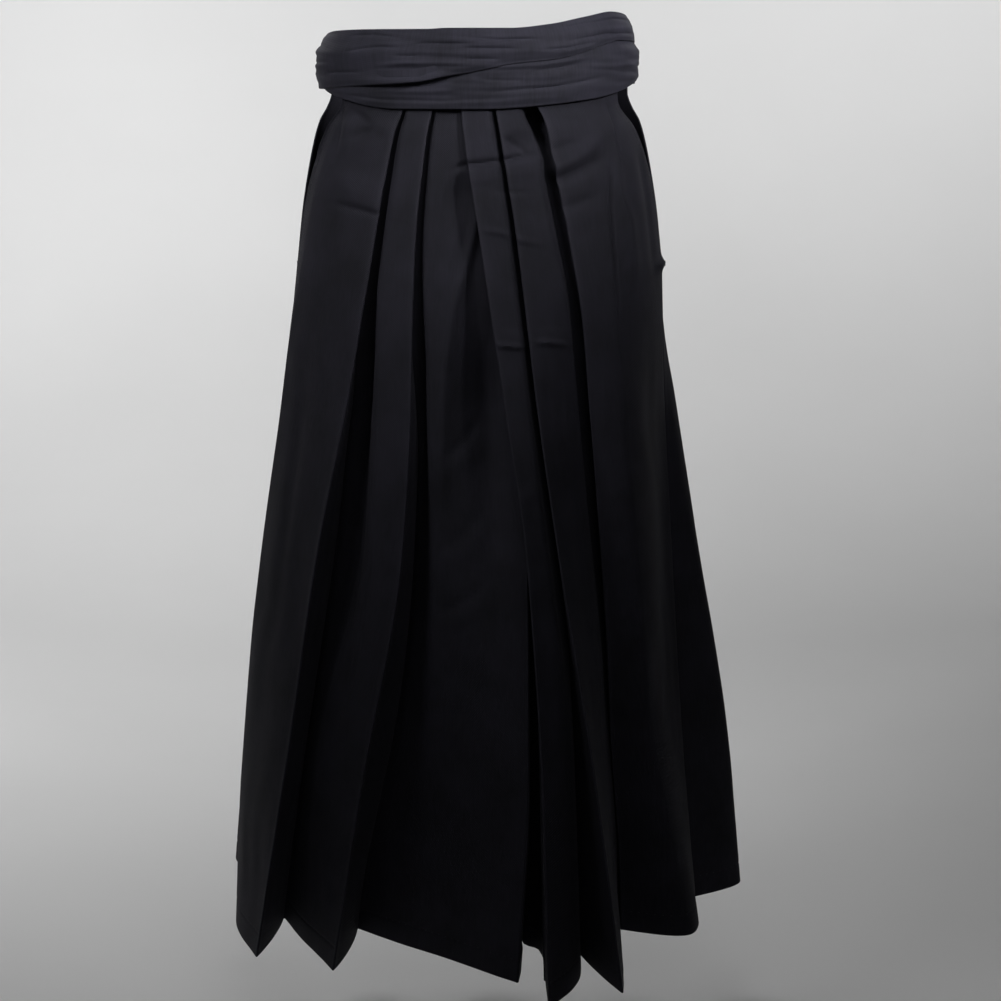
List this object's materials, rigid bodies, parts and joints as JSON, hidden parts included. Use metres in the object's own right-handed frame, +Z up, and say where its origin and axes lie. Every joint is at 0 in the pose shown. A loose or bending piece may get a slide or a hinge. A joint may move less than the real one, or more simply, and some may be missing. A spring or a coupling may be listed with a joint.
{
  "type": "hakama trousers",
  "caption": "Divided pleated trousers in near-black cloth with a soft wide sash wound round the waist, in the hollow form they take when worn.",
  "frame": {"origin": "middle of the waist, at the height where the wound sash holds the garment to the wearer", "axes": "+Z up along the wearer, -Y to the front, +X to the wearer's left"},
  "size_m": [0.5873, 0.431, 1.0041],
  "materials": {
    "trouser_cloth": "matt near-black twill, pressed into knife pleats",
    "sash_cloth": "soft charcoal cloth with a slight sheen, in shallow lengthwise folds"
  },
  "bodies": {
    "root": {"front_right": "trouser_cloth", "front_left": "trouser_cloth", "back_right": "trouser_cloth", "back_left": "trouser_cloth", "inner_leg_right": "trouser_cloth", "inner_leg_left": "trouser_cloth", "front_band": "trouser_cloth", "back_board": "trouser_cloth", "front_tie": "trouser_cloth", "back_tie": "trouser_cloth", "sash_lower": "sash_cloth", "sash_upper": "sash_cloth"}
  },
  "joints": []
}
